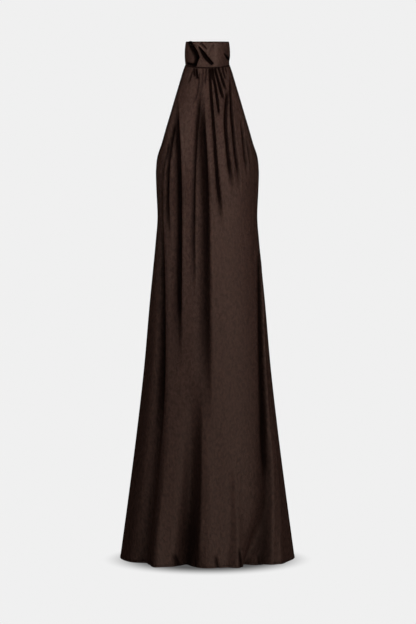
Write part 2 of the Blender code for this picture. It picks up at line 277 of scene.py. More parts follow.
# Creases of the neckband, in millimetres: four points along each, as seen from the
# front, from its high end to its low end; turn: where its middle faces, in degrees;
# width: at its start, halfway and at its end; crisp: how wide its right side is, as a
# part of that. A negative depth stands out.
Crease = namedtuple("Crease", "turn x_1 z_1 x_2 z_2 x_3 z_3 x_4 z_4 depth "
                              "width width_half width_end crisp")
BAND_CREASES = (
    Crease(0, -49, 24, -38, 5, -30, -10, -26, -23, 12, 7.5, 8.5, 7.0, 0.42),
    Crease(0, -26, -22, -28, -29, -32, -38, -38, -50, 9.0, 6.5, 6.0, 5.0, 0.6),
    Crease(0, -24, 7, -11, -10, 0, -25, 14, -40, 10, 0.8, 6.2, 4.2, 0.45),
    Crease(0, -17, 16, -12, 10, -7, 5, -2, 0, 2.8, 4.5, 3.6, 1.5, 0.6),
    Crease(0, 17, 11, 12, 2, 8, -8, 5, -17, 2.0, 2.0, 4.0, 3.0, 0.4),
    Crease(0, 45, -11, 49, -14, 54, -18, 62, -24, 7.0, 1.8, 3.6, 6.0, 0.8),
    Crease(0, -56, -35, -48, -39, -41, -41, -33, -43, 7.0, 3.0, 3.4, 3.0, 1.0),
    Crease(0, -44, 24, -33, 8, -25, -4, -20, -16, -1.6, 2.0, 3.0, 2.4, 1.0),
    Crease(0, 14, 4, 11, -6, 9, -14, 10, -22, -1.4, 2.0, 4.0, 3.0, 1.0),
    Crease(180, -44, 20, -28, 12, -14, 6, -4, 2, 1.4, 2.5, 3.0, 3.5, 1.0),
    Crease(180, 40, 30, 28, 20, 20, 8, 14, -6, 1.2, 2.5, 3.0, 3.5, 1.0),
)

# Satin. Crumples and grain are as fine as stated, in waves for each metre across and
# down. The crumples get painted shade where they dip and painted light where they rise:
# the tones are parts of the satin's colour, from the darkest to the lightest, and the
# spans are the parts of the crumples' noise over which tone and gloss change.
SATIN_COLOUR = (0.0312, 0.0162, 0.0125, 1.0)
SATIN_GLOSS_TINT = (1.0, 0.70, 0.56, 1.0)
SATIN_SHINE = 0.14
SATIN_ROUGHNESS = 0.46
GLOSS_SPAN = (0.3, 0.7)
GLOSS_SMOOTHER = -0.03
GLOSS_ROUGHER = 0.04
CRUMPLE_SHADE_AND_LIGHT = (0.66, 1.34)
TONE_SPAN = (0.35, 0.65)
CRUMPLE_TURN = 14
CRUMPLE_FINENESS = (160.0, 84.0, 1.0)
CRUMPLE_HEIGHT = 0.0025
PANEL_CRINKLE = 0.85
BAND_CRINKLE = 0.2
GRAIN_FINENESS = (2600.0, 300.0, 1.0)
GRAIN_STRENGTH = 0.12
GRAIN_HEIGHT = 0.00012

# Where the gloss fades as the cloth turns edge-on, from 0 face-on to 1 edge-on.
EDGE_ON_SPAN = (0.22, 0.54)

# Buttons, cord and sewing thread.
TRIM_SHINE = 0.2
TRIM_TONES = (0.75, 1.25)
TRIM_BUMP = 0.3
TRIM_BUMP_HEIGHT = 0.0003
BUTTON_ROUGHNESS = 0.45
BUTTON_GRAIN = 1900.0
CORD_ROUGHNESS = 0.5
CORD_GRAIN = 2600.0
THREAD_COLOUR = (0.0150, 0.0095, 0.0075, 1.0)
THREAD_ROUGHNESS = 0.6
THREAD_TONES = (0.7, 1.4)
THREAD_GRAIN = 2400.0

# The pale room. The floor's painted shadow is an oval of this size, in metres: it is
# darkest up to the start of its span, in ovals, and gone at its end, and its tones are
# the floor's light there. The room lights the cloth a little and doesn't show in its gloss.
BACKDROP_GREY = (0.871, 0.871, 0.871, 1.0)
WHITE = (1.0, 1.0, 1.0, 1.0)
FLOOR_RADIUS = 6.0
SHADOW_HALF_WIDTH = 0.2020
SHADOW_HALF_DEPTH = 0.182
SHADOW_SPAN = (0.78, 1.45)
SHADOW_TONES = (0.12, 1.0)
ROOM_LIGHT = 0.13
ROOM_GLOSS = 0.0

# Soft boxes: where each stands, its width and height, all in metres, its power in watts,
# how far below the neck it is aimed, in metres, and how wide it spreads, in degrees.
SoftBox = namedtuple("SoftBox", "name place width height power aim_drop spread")
SOFT_BOXES = (
    SoftBox("right front", (2.2, -3.35, -0.95), 1.3, 0.85, 74.0, 1.0, 180.0),
    SoftBox("right chest", (1.9, -3.2, 1.3), 1.2, 1.2, 2.1, 0.0, 22.0),
    SoftBox("left front", (-2.0, -3.1, 1.5), 1.4, 1.4, 4.6, -0.05, 24.0),
    SoftBox("left low", (-1.6, -3.3, -1.05), 0.8, 0.5, 0.45, 1.4, 24.0),
    SoftBox("right back", (1.1, 3.1, 2.0), 1.2, 1.4, 70.0, 0.65, 180.0),
    SoftBox("left back", (-1.1, 3.1, 2.0), 1.2, 1.4, 90.0, 0.65, 180.0),
)


# Curves

def ease(value):
    """Smooth step from 0 to 1."""
    value = np.clip(value, 0.0, 1.0)
    return value * value * (3.0 - 2.0 * value)


def hermite(first, second, slope_1, slope_2, rest):
    """A cubic between two values with given slopes."""
    square, cube = rest * rest, rest ** 3
    return ((2 * cube - 3 * square + 1) * first + (cube - 2 * square + rest) * slope_1
            + (3 * square - 2 * cube) * second + (cube - square) * slope_2)


def blend_four(values, part):
    """A curve through four values, evenly spaced from part 0 to part 1."""
    values = np.asarray(values, float)
    place = np.clip(part, 0.0, 1.0) * 3.0
    index = np.minimum(place.astype(int), 2)
    before = values[np.maximum(index - 1, 0)]
    first, second = values[index], values[index + 1]
    after = values[np.minimum(index + 2, 3)]
    return hermite(first, second, (second - before) / 2, (after - first) / 2, place - index)


def section(column, drop):
    """One column of the sections at any drop, as a smooth curve, level where it turns."""
    drops = np.array([row.drop for row in SECTIONS], float)
    values = np.array([getattr(row, column) for row in SECTIONS], float)
    rises = np.diff(values)
    slopes = np.empty_like(values)
    slopes[1:-1] = (values[2:] - values[:-2]) / (drops[2:] - drops[:-2])
    slopes[1:-1][rises[1:] * rises[:-1] <= 0] = 0.0
    slopes[0] = rises[0] / (drops[1] - drops[0])
    slopes[-1] = rises[-1] / (drops[-1] - drops[-2])
    drop = np.clip(drop, drops[0], drops[-1])
    index = np.clip(np.searchsorted(drops, drop) - 1, 0, len(drops) - 2)
    span = drops[index + 1] - drops[index]
    return hermite(values[index], values[index + 1], slopes[index] * span,
                   slopes[index + 1] * span, (drop - drops[index]) / span)


# Cloth surfaces

def fold_push(folds, drop, turn, half_width, depth):
    """How far the folds push the cloth in, and the painted shade in their troughs, from 0 to 1."""
    total = np.zeros_like(drop)
    painted_shade = np.zeros_like(drop)
    for fold in folds:
        part = (drop - fold.start) / (fold.end - fold.start)
        # A hair over 1, so that rounding doesn't end a fold before the hem.
        inside = (part > 0) & (part <= 1.0001)
        part = np.clip(part, 0.0, 1.0)
        stations = (fold.across_1, fold.across_2, fold.across_3, fold.across_4)
        middle = np.arcsin(np.clip(blend_four(stations, part) / half_width, -1.0, 1.0))
        per_turn = np.hypot(half_width * np.cos(middle), depth * np.sin(middle))
        left = fold.left + (fold.left_end - fold.left) * part
        right = fold.right + (fold.right_end - fold.right) * part
        away = (turn - middle) * per_turn
        soft_right = right * (SOFT_RIGHT if fold.depth > 0 else 1.0)
        soft = np.exp(-np.abs(away / np.where(away < 0, left, soft_right)) ** FOLD_POINT)
        crisp = np.clip(1.0 - (away / right) ** 2, 0.0, 1.0)
        crispness = ease((HEM - drop) / HEM_SOFT) if fold.depth > 0 else 0.0
        shape = np.where(away > 0, soft + (crisp - soft) * crispness, soft)
        strength = ease((drop - fold.start) / fold.ramp)
        if fold.end < HEM:
            strength = strength * ease((1.0 - part) / FADE_OUT)
        reach = fold.depth + (fold.depth_end - fold.depth) * part * part
        reach = np.where(inside, reach * strength, 0.0)
        lip = LIP * np.exp(-((away / right - LIP_PLACE) / LIP_WIDTH) ** 2) * (fold.depth > 0)
        total += reach * (shape - lip)
        # Painted shade in the trough, strongest where the fold is deep and narrow.
        narrow = np.minimum(left, right)
        shade = np.where(away > 0, np.sqrt(shape), shape)
        steep = np.clip(reach / narrow, 0.0, STEEPEST)
        close = np.clip(PAINTED_SHADE_WIDTH / narrow, 0.0, 1.0)
        painted_shade += fold.dark * (steep * close) * shade
    return total, np.clip(painted_shade, 0.0, 1.0)


def place_points(half_width, depth, turn, push, drop, side):
    """Points round an ellipse, pushed in; side is -1 for the front, 1 for the back."""
    out_x, out_y = depth * np.sin(turn), side * half_width * np.cos(turn)
    length = np.hypot(out_x, out_y)
    x = half_width * np.sin(turn) - push * out_x / length
    y = side * depth * np.cos(turn) - push * out_y / length
    return np.stack([x, y, -drop], axis=-1) * MM


def narrow_hem(edge):
    """A turned-up edge: how far it stands out and how dark its painted shade lines are; edge
    is the distance to the free edge, in millimetres."""
    step = HEM_STEP * (1.0 - ease((edge - HEM_FOLD) / HEM_STEP_WIDTH))
    painted_fold_shade = HEM_LINE_SHADE * np.exp(-((edge - HEM_FOLD) / HEM_LINE_WIDTH) ** 2)
    painted_edge_shade = HEM_EDGE_SHADE * (1.0 - ease(edge / HEM_EDGE_WIDTH))
    return step, painted_fold_shade + painted_edge_shade


def calm_sides(across, from_side, painted_shade):
    """How much is left of the folds near the side seams, and their painted shade joined with the
    side seams' own painted shade.
    """
    calm = 1.0 - ease((np.abs(across) - SIDE_CALM) / (1.0 - SIDE_CALM))
    # Painted shade along the side seams, where the cloth turns away.
    side_painted_shade = SEAM_SHADE * (1.0 - ease(from_side / SEAM_SHADE_WIDTH))
    return calm, np.maximum(painted_shade * calm, side_painted_shade)


def scooped_edge(across):
    """The low back edge: how far below the underarm it is, from 0 to 1."""
    return np.cos(across * pi / 2) ** SCOOP_ROUND


def front_points(across, down):
    """The front panel; across from -1 to 1, down from 0 to 1."""
    drop = PANEL_TOP + (HEM - PANEL_TOP) * down
    sweep = np.radians(section("sweep", drop))
    turn = across * sweep
    half_width = section("half_width", drop) / np.sin(sweep)
    depth = section("front", drop)
    near_neck = 1.0 - ease((drop - PANEL_TOP) / NECK_SAG_REACH)
    sag = BAND_FOOT_TILT * np.cos(across * pi / 2) * near_neck
    push, painted_shade = fold_push(FRONT_FOLDS, drop + sag, turn, half_width, depth)
    from_side = (1.0 - np.abs(across)) * sweep * half_width * np.cos(turn)
    calm, painted_shade = calm_sides(across, from_side, painted_shade)
    push *= calm * ease((drop - PANEL_TOP) / GATHER_START)
    push += TUCK_IN * ease((PANEL_TOP - drop) / TUCK_UP + TUCK_EARLY)
    # Painted shade just under the neckband's foot.
    painted_shade = np.maximum(painted_shade, 1.0 - ease((drop - PANEL_TOP) / GATHER_SHADE_WIDTH))
    per_turn = np.hypot(half_width * np.cos(sweep), depth * np.sin(sweep))
    armhole = (1.0 - np.abs(across)) * sweep * per_turn + NO_ARMHOLE * (drop > UNDERARM)
    # Painted shade lines along the armhole edges and the hem.
    step, line = narrow_hem(np.minimum(armhole, HEM - drop))
    painted_shade = np.maximum(painted_shade, line)
    place = place_points(half_width, depth, turn, push - step, drop + sag + SEAM_GAP / MM, -1)
    return place, painted_shade


def back_points(across, down):
    """The back panel; across from -1 (left) to 1, down from 0 to 1."""
    top = UNDERARM + (BACK_EDGE - UNDERARM) * scooped_edge(across)
    drop = top + (HEM - top) * down
    turn = across * pi / 2
    half_width = section("half_width", drop)
    depth = section("back", drop)
    push, painted_shade = fold_push(BACK_FOLDS, drop, turn, half_width, depth)
    from_side = (1.0 - np.abs(across)) * pi / 2 * half_width * np.cos(turn)
    calm, painted_shade = calm_sides(across, from_side, painted_shade)
    # Painted shade lines along the scooped edge and the hem.
    step, line = narrow_hem(np.minimum(drop - top, HEM - drop))
    painted_shade = np.maximum(painted_shade, line)
    place = place_points(half_width, depth, turn, push * calm - step, drop + SEAM_GAP / MM, 1)
    return place, painted_shade


def crease_push(turn, height):
    """How far the neckband's creases push it in, in millimetres."""
    total = np.zeros_like(turn)
    for crease in BAND_CREASES:
        part = np.linspace(0.0, 1.0, CREASE_POINTS)
        path_x = blend_four((crease.x_1, crease.x_2, crease.x_3, crease.x_4), part)
        path_z = blend_four((crease.z_1, crease.z_2, crease.z_3, crease.z_4), part)
        middle = radians(crease.turn)
        path_turn = middle + np.arcsin(np.clip(path_x / BAND_HALF_WIDTH, -1, 1))
        aside = ((turn[..., None] - path_turn + pi) % (2 * pi) - pi) * BAND_HALF_WIDTH
        gap = np.hypot(aside, height[..., None] - path_z)
        nearest = gap.argmin(axis=-1)[..., None]
        gap = np.take_along_axis(gap, nearest, axis=-1)[..., 0]
        aside = np.take_along_axis(aside, nearest, axis=-1)[..., 0]
        along = part[nearest[..., 0]]
        belly = crease.width_half - (crease.width + crease.width_end) / 2
        width = crease.width + (crease.width_end - crease.width) * along
        width = width + belly * 4.0 * along * (1.0 - along)
        width = width * np.where(aside > 0, crease.crisp, 1.0)
        total += crease.depth * np.exp(-(gap / width) ** 2)
    return total


def band_radius(part):
    """Half width and half depth of the neckband; part 0 at its foot, 1 at its top."""
    change = BAND_BULGE * 4.0 * part * (1.0 - part) - BAND_TAPER * part
    return BAND_HALF_WIDTH + change, BAND_HALF_DEPTH + change


def band_points(turn, part):
    """The neckband's outer face and its painted shade; turn is 0 in front, pi behind."""
    foot = BAND_FOOT - BAND_FOOT_TILT * np.cos(turn)
    top = BAND_TOP - BAND_TOP_TILT * np.cos(turn)
    height = foot + (top - foot) * part
    half_width, half_depth = band_radius(part)
    edge = np.minimum(part, 1.0 - part) * (top - foot)
    creases = crease_push(turn, height)
    push = creases * ease(edge / CREASE_END_WIDTH) + 1.0 - ease(edge / BAND_EDGE_ROUND)
    # Painted shade along its edges and in its creases.
    painted_edge_shade = BAND_EDGE_SHADE * (1.0 - ease(edge / BAND_EDGE_SHADE_WIDTH))
    painted_shade = np.maximum(np.clip(creases / CREASE_DARK_DEPTH, 0.0, 1.0), painted_edge_shade)
    x = (half_width - push) * np.sin(turn)
    y = -(half_depth - push) * np.cos(turn)
    return np.stack([x, y, height], axis=-1) * MM, painted_shade


# Materials

def node(tree, kind, place, **inputs):
    """A shader node with its named inputs set or linked."""
    made = tree.nodes.new(kind)
    made.location = place
    for name, value in inputs.items():
        socket = made.inputs[name.replace("_", " ")]
        if isinstance(value, bpy.types.NodeSocket):
            tree.links.new(value, socket)
        else:
            socket.default_value = value
    return made


def new_material(name):
    """A material with its nodes and its shader."""
    made = bpy.data.materials.new(name)
    made.use_nodes = True
    return made, made.node_tree, made.node_tree.nodes["Principled BSDF"]


def tone_ramp(tree, place, value, colour, tones):
    """A ramp from a darker to a lighter tone of one colour."""
    made = node(tree, "ShaderNodeValToRGB", place, Fac=value)
    for element, tone in zip(made.color_ramp.elements, tones):
        element.color = [channel * tone for channel in colour[:3]] + [1.0]
    return made


def change_span(tree, place, value, start, end, span=(0.0, 1.0)):
    """A node that goes from start to end as a value goes over a span."""
    made = node(tree, "ShaderNodeMapRange", place, Value=value)
    for name, number in zip(("From Min", "From Max", "To Min", "To Max"), (*span, start, end)):
        made.inputs[name].default_value = number
    return made


def satin(name, crinkle, shade):
    """Satin: a soft sheen, a fine vertical grain, small crinkles painted lighter and darker, and
    painted shade in its folds.
    """
    made, tree, shader = new_material(name)
    shader.inputs["Specular Tint"].default_value = SATIN_GLOSS_TINT
    uv = node(tree, "ShaderNodeUVMap", (-1500, 0))
    uv.uv_map = "cloth"
    crumple_place = node(tree, "ShaderNodeMapping", (-1300, 100), Vector=uv.outputs["UV"])
    crumple_place.inputs["Rotation"].default_value = (0.0, 0.0, radians(CRUMPLE_TURN))
    crumple_place.inputs["Scale"].default_value = CRUMPLE_FINENESS
    crumple = node(tree, "ShaderNodeTexNoise", (-1100, 100), Vector=crumple_place.outputs["Vector"],
                   Scale=1.0, Detail=3.0, Roughness=0.6, Distortion=0.6)
    grain_place = node(tree, "ShaderNodeMapping", (-1300, -250), Vector=uv.outputs["UV"])
    grain_place.inputs["Scale"].default_value = GRAIN_FINENESS
    grain = node(tree, "ShaderNodeTexNoise", (-1100, -250), Vector=grain_place.outputs["Vector"],
                 Scale=1.0, Detail=1.0, Roughness=0.5)
    soft_bump = node(tree, "ShaderNodeBump", (-500, -100), Strength=crinkle,
                     Distance=CRUMPLE_HEIGHT, Height=crumple.outputs["Fac"])
    fine_bump = node(tree, "ShaderNodeBump", (-300, -200), Strength=GRAIN_STRENGTH,
                     Distance=GRAIN_HEIGHT, Height=grain.outputs["Fac"],
                     Normal=soft_bump.outputs["Normal"])
    tree.links.new(fine_bump.outputs["Normal"], shader.inputs["Normal"])
    # Painted shade and light on the crumples: darker where they dip, lighter where they rise.
    tone = tone_ramp(tree, (-700, 300), crumple.outputs["Fac"], SATIN_COLOUR, CRUMPLE_SHADE_AND_LIGHT)
    for element, position in zip(tone.color_ramp.elements, TONE_SPAN):
        element.position = position
    # Painted shade: the colour is darkened and the gloss taken away where the painted shade
    # attribute is high.
    painted_shade = node(tree, "ShaderNodeAttribute", (-900, 500))
    painted_shade.attribute_name = "painted_shade"
    colour_left = change_span(tree, (-700, 500), painted_shade.outputs["Fac"], 1.0, 1.0 - shade)
    shine = change_span(tree, (-700, 700), painted_shade.outputs["Fac"], SATIN_SHINE, 0.0)
    facing = node(tree, "ShaderNodeLayerWeight", (-900, 900), Blend=0.5)
    edge_on = change_span(tree, (-700, 900), facing.outputs["Facing"], 1.0, 0.0, EDGE_ON_SPAN)
    calm_shine = node(tree, "ShaderNodeMath", (-400, 800))
    calm_shine.operation = "MULTIPLY"
    tree.links.new(shine.outputs["Result"], calm_shine.inputs[0])
    tree.links.new(edge_on.outputs["Result"], calm_shine.inputs[1])
    tree.links.new(calm_shine.outputs[0], shader.inputs["Specular IOR Level"])
    darker = node(tree, "ShaderNodeVectorMath", (-400, 400))
    darker.operation = "SCALE"
    tree.links.new(tone.outputs["Color"], darker.inputs["Vector"])
    tree.links.new(colour_left.outputs["Result"], darker.inputs["Scale"])
    tree.links.new(darker.outputs["Vector"], shader.inputs["Base Color"])
    gloss = change_span(tree, (-500, 100), crumple.outputs["Fac"],
                        SATIN_ROUGHNESS + GLOSS_SMOOTHER, SATIN_ROUGHNESS + GLOSS_ROUGHER,
                        GLOSS_SPAN)
    tree.links.new(gloss.outputs["Result"], shader.inputs["Roughness"])
    return made


def trim_satin(name, roughness, grain):
    """Satin drawn tight over a button or rolled into cord: fine grain, slight sheen."""
    made, tree, shader = new_material(name)
    shader.inputs["Roughness"].default_value = roughness
    shader.inputs["Specular IOR Level"].default_value = TRIM_SHINE
    shader.inputs["Specular Tint"].default_value = SATIN_GLOSS_TINT
    where = node(tree, "ShaderNodeTexCoord", (-1100, 0))
    weave = node(tree, "ShaderNodeTexNoise", (-900, 0), Vector=where.outputs["Object"],
                 Scale=grain, Detail=2.0, Roughness=0.6)
    tone = tone_ramp(tree, (-600, 200), weave.outputs["Fac"], SATIN_COLOUR, TRIM_TONES)
    tree.links.new(tone.outputs["Color"], shader.inputs["Base Color"])
    bump = node(tree, "ShaderNodeBump", (-300, -200), Strength=TRIM_BUMP,
                Distance=TRIM_BUMP_HEIGHT, Height=weave.outputs["Fac"])
    tree.links.new(bump.outputs["Normal"], shader.inputs["Normal"])
    return made


# Pieces

def new_object(name, data):
    """An object put in the scene."""
    made = bpy.data.objects.new(name, data)
    bpy.context.scene.collection.objects.link(made)
    return made


def plain_mesh(made):
    """The mesh of an object as it is drawn."""
    graph = bpy.context.evaluated_depsgraph_get()
    return bpy.data.meshes.new_from_object(made.evaluated_get(graph))


def bake_modifiers(made):
    """Turn a piece with modifiers into its plain mesh."""
    mesh = plain_mesh(made)
    made.modifiers.clear()
    made.data = mesh


def cut_of(grid):
    """The flat cut of a grid of points: its widest row, its longest column, its area."""
    widths = np.linalg.norm(np.diff(grid, axis=1), axis=2)
    lengths = np.linalg.norm(np.diff(grid, axis=0), axis=2)
    area = float((widths[:-1] * lengths[:, :-1]).sum())
    return float(widths.sum(axis=1).max()), float(lengths.sum(axis=0).max()), area


def cloth_piece(name, columns, rows, points, thickness, finish):
    """A grid of points as cloth of some thickness, with a UV map in metres, and its cut."""
    grid, painted_shade = points(*np.meshgrid(columns, rows))
    count_down, count_across = grid.shape[:2]
    corner = np.arange(count_down * count_across).reshape(count_down, count_across)
    faces = np.stack([corner[:-1, :-1], corner[1:, :-1], corner[1:, 1:], corner[:-1, 1:]], axis=-1)
    mesh = bpy.data.meshes.new(name)
    mesh.from_pydata(grid.reshape(-1, 3).tolist(), [], faces.reshape(-1, 4).tolist())
    mesh.update()
    steps = np.linalg.norm(np.diff(grid, axis=1), axis=2)
    along = np.concatenate([np.zeros((count_down, 1)), np.cumsum(steps, axis=1)], axis=1)
    along -= along[:, -1:] / 2
    uv_values = np.stack([along, grid[..., 2]], axis=-1).reshape(-1, 2)
    uv = mesh.uv_layers.new(name="cloth")
    loop_vertices = np.zeros(len(mesh.loops), np.int32)
    mesh.loops.foreach_get("vertex_index", loop_vertices)
    uv.data.foreach_set("uv", uv_values[loop_vertices].astype(np.float32).ravel())
    # The painted shade, kept on the points for the material.
    shade = mesh.attributes.new("painted_shade", "FLOAT", "POINT")
    shade.data.foreach_set("value", painted_shade.astype(np.float32).ravel())
    mesh.shade_smooth()
    mesh.materials.append(finish)
    made = new_object(name, mesh)
    wall = made.modifiers.new("cloth thickness", "SOLIDIFY")
    wall.thickness = thickness
    wall.offset = -1.0
    wall.use_even_offset = False
    bake_modifiers(made)
    return made, cut_of(grid)


def graded(count, growth, extra=()):
    """Rows from 0 to 1, closer together at the start, with extra rows added."""
    rows = (np.arange(count + 1) / count) ** growth
    return np.unique(np.concatenate([rows, np.asarray(extra, float)]))


def finished(made, slot, *replaced):
    """Say what a piece rides on and hide the parts it stands for; slot, what it takes its finish
    from, is not used.
    """
    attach(made, "root")
    if replaced:
        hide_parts(*replaced)
    return made


def make_front(finish):
    """The front panel in one piece, with its cut."""
    columns = np.linspace(-1.0, 1.0, FRONT_COLUMNS + 1)
    hem_rows = 1.0 - np.array(HEM_ROWS) / (HEM - PANEL_TOP)
    rows = graded(FRONT_ROWS, 1.3, hem_rows)
    rows = np.concatenate([[-TUCK_UP / (HEM - PANEL_TOP)], rows])
    made, cut = cloth_piece("front_cloth", columns, rows, front_points, CLOTH, finish)
    return finished(made, "satin", "front_panel"), cut


def make_back(finish):
    """The back panel in one piece, with its cut."""
    columns = np.linspace(1.0, -1.0, BACK_COLUMNS + 1)
    edge_rows = np.array(HEM_ROWS) / (HEM - BACK_EDGE)
    rows = graded(BACK_ROWS, 1.0, np.concatenate([edge_rows, 1.0 - edge_rows]))
    made, cut = cloth_piece("back_cloth", columns, rows, back_points, CLOTH, finish)
    return finished(made, "satin", "back_panel"), cut


def make_neckband(finish):
    """The folded neckband, slit behind the neck, with its cut."""
    half_slit = BAND_SLIT / 2 / BAND_HALF_WIDTH
    columns = np.linspace(-pi + half_slit, pi - half_slit, BAND_COLUMNS + 1)
    rows = np.linspace(1.0, 0.0, BAND_ROWS + 1)
    made, cut = cloth_piece("neckband_cloth", columns, rows, band_points, BAND_CLOTH, finish)
    return finished(made, "satin_band", "neckband"), cut


def back_face(x, height):
    """Depth of the neckband's outer face behind the neck, at one place on it."""
    foot = BAND_FOOT + BAND_FOOT_TILT
    top = BAND_TOP + BAND_TOP_TILT
    half_width, half_depth = band_radius((height - foot) / (top - foot))
    return half_depth * cos(asin(x / half_width))


def make_button(which, height, finish):
    """A covered button: a dome turned round its shank, facing away from the neck."""
    lip = BUTTON_DOME * BUTTON_LIP_PART
    underside = BUTTON_RADIUS * BUTTON_UNDERSIDE_PART
    quarter = np.linspace(0.0, pi / 2, 9)
    profile = [(BUTTON_RADIUS * sin(turn), SHANK_HEIGHT + lip + (BUTTON_DOME - lip) * cos(turn))
               for turn in quarter]
    profile += [(underside + (BUTTON_RADIUS - underside) * cos(turn),
                 SHANK_HEIGHT + lip * (1.0 - sin(turn)))
                for turn in quarter[2::2]]
    profile += [(SHANK_RADIUS, SHANK_HEIGHT), (SHANK_RADIUS, 0.0), (0.0, 0.0)]
    name = "covered_button_" + which
    mesh = bpy.data.meshes.new(name)
    edges = [(index, index + 1) for index in range(len(profile) - 1)]
    mesh.from_pydata([(radius * MM, 0.0, z * MM) for radius, z in profile], edges, [])
    mesh.materials.append(finish)
    made = new_object(name, mesh)
    turned = made.modifiers.new("turned", "SCREW")
    turned.steps = BUTTON_STEPS
    turned.render_steps = BUTTON_STEPS
    turned.use_merge_vertices = True
    turned.merge_threshold = 0.00001
    turned.use_smooth_shade = True
    bake_modifiers(made)
    behind = back_face(BUTTON_ASIDE, height) * MM + SEAM_GAP
    place = Matrix.Translation(Vector((BUTTON_ASIDE * MM, behind, height * MM)))
    made.data.transform(place @ Matrix.Rotation(-pi / 2, 4, "X"))
    return finished(made, "covered_button", "button_" + which)


def make_loop(which, height, finish):
    """A cord loop on the left end of the neckband, round the button's shank."""
    reach = SHANK_RADIUS + LOOP_THREAD + SEAM_GAP / MM
    name = "cord_loop_" + which
    curve = bpy.data.curves.new(name, "CURVE")
    curve.dimensions = "3D"
    curve.bevel_depth = LOOP_THREAD * MM
    curve.bevel_resolution = 4
    curve.use_fill_caps = True
    arc = np.radians(np.arange(-90, 91, 10))
    path = [(-LOOP_FOOT, -reach)]
    path += [(BUTTON_ASIDE + reach * cos(turn), reach * sin(turn)) for turn in arc]
    path += [(-LOOP_FOOT, reach)]
    spline = curve.splines.new("POLY")
    spline.points.add(len(path) - 1)
    spline.use_smooth = True
    for place, (x, up) in zip(spline.points, path):
        y = back_face(x, height + up) + LOOP_THREAD + SEAM_GAP / MM
        place.co = (x * MM, y * MM, (height + up) * MM, 1.0)
    drawn = new_object(name + "_line", curve)
    mesh = plain_mesh(drawn)
    bpy.data.objects.remove(drawn, do_unlink=True)
    mesh.materials.clear()
    mesh.materials.append(finish)
    made = new_object(name, mesh)
    return finished(made, "loop_cord", "button_loop_" + which)


# Sewing

def group_node(tree, kind, inputs):
    """A geometry node with its inputs, by name, set or linked."""
    made = tree.nodes.new(kind)
    for name, value in inputs.items():
        if isinstance(value, bpy.types.NodeSocket):
            tree.links.new(value, made.inputs[name])
        else:
            made.inputs[name].default_value = value
    return made


def stitch_tree():
    """Geometry nodes that lay stitches along a line."""
    tree = bpy.data.node_groups.new("row of stitches", "GeometryNodeTree")
    tree.interface.new_socket("Line", in_out="INPUT", socket_type="NodeSocketGeometry")
    for name in ("Stitch length", "Space between", "Thread radius"):
        tree.interface.new_socket(name, in_out="INPUT", socket_type="NodeSocketFloat")
    tree.interface.new_socket("Thread", in_out="INPUT", socket_type="NodeSocketMaterial")
    tree.interface.new_socket("Stitches", in_out="OUTPUT", socket_type="NodeSocketGeometry")
    given = tree.nodes.new("NodeGroupInput").outputs
    pitch = tree.nodes.new("ShaderNodeMath")
    pitch.operation = "ADD"
    tree.links.new(given["Stitch length"], pitch.inputs[0])
    tree.links.new(given["Space between"], pitch.inputs[1])
    half = tree.nodes.new("ShaderNodeMath")
    half.operation = "MULTIPLY"
    half.inputs[1].default_value = 0.5
    tree.links.new(given["Stitch length"], half.inputs[0])
    line = group_node(tree, "GeometryNodeMeshToCurve", {"Mesh": given["Line"]})
    even = tree.nodes.new("GeometryNodeResampleCurve")
    even.mode = "LENGTH"
    tree.links.new(line.outputs["Curve"], even.inputs["Curve"])
    tree.links.new(pitch.outputs[0], even.inputs["Length"])
    bead = group_node(tree, "GeometryNodeMeshUVSphere", {"Segments": 6, "Rings": 4, "Radius": 1.0})
    round_bead = group_node(tree, "GeometryNodeSetShadeSmooth", {"Geometry": bead.outputs["Mesh"]})
    size = group_node(tree, "ShaderNodeCombineXYZ", {"X": given["Thread radius"],
                                                     "Y": given["Thread radius"],
                                                     "Z": half.outputs[0]})
    along = tree.nodes.new("GeometryNodeInputTangent")
    turned = group_node(tree, "FunctionNodeAlignRotationToVector",
                        {"Vector": along.outputs["Tangent"]})
    turned.axis = "Z"
    laid = group_node(tree, "GeometryNodeInstanceOnPoints",
                      {"Points": even.outputs["Curve"], "Instance": round_bead.outputs["Geometry"],
                       "Rotation": turned.outputs["Rotation"], "Scale": size.outputs["Vector"]})
    real = group_node(tree, "GeometryNodeRealizeInstances", {"Geometry": laid.outputs["Instances"]})
    sewn = group_node(tree, "GeometryNodeSetMaterial", {"Geometry": real.outputs["Geometry"],
                                                        "Material": given["Thread"]})
    out = tree.nodes.new("NodeGroupOutput")
    tree.links.new(sewn.outputs["Geometry"], out.inputs["Stitches"])
    return tree


def sew(name, tree, lines, slot, thread):
    """Stitches along some lines of points, a hair above the cloth."""
    vertices, edges = [], []
    for points in lines:
        first = len(vertices)
        radius = np.hypot(points[:, 0], points[:, 1])
        lifted = points.copy()
        lifted[:, :2] *= (1.0 + THREAD_RADIUS * THREAD_LIFT * MM / radius)[:, None]
        vertices += lifted.tolist()
        edges += [(first + index, first + index + 1) for index in range(len(points) - 1)]
    mesh = bpy.data.meshes.new(name)
    mesh.from_pydata(vertices, edges, [])
    made = new_object(name, mesh)
    row = made.modifiers.new("stitches", "NODES")
    row.node_group = tree
    values = {"Stitch length": STITCH_LENGTH * MM, "Space between": STITCH_SPACE * MM,
              "Thread radius": THREAD_RADIUS * MM, "Thread": thread}
    for socket in tree.interface.items_tree:
        if socket.name in values:
            row[socket.identifier] = values[socket.name]
    bake_modifiers(made)
    return finished(made, slot)


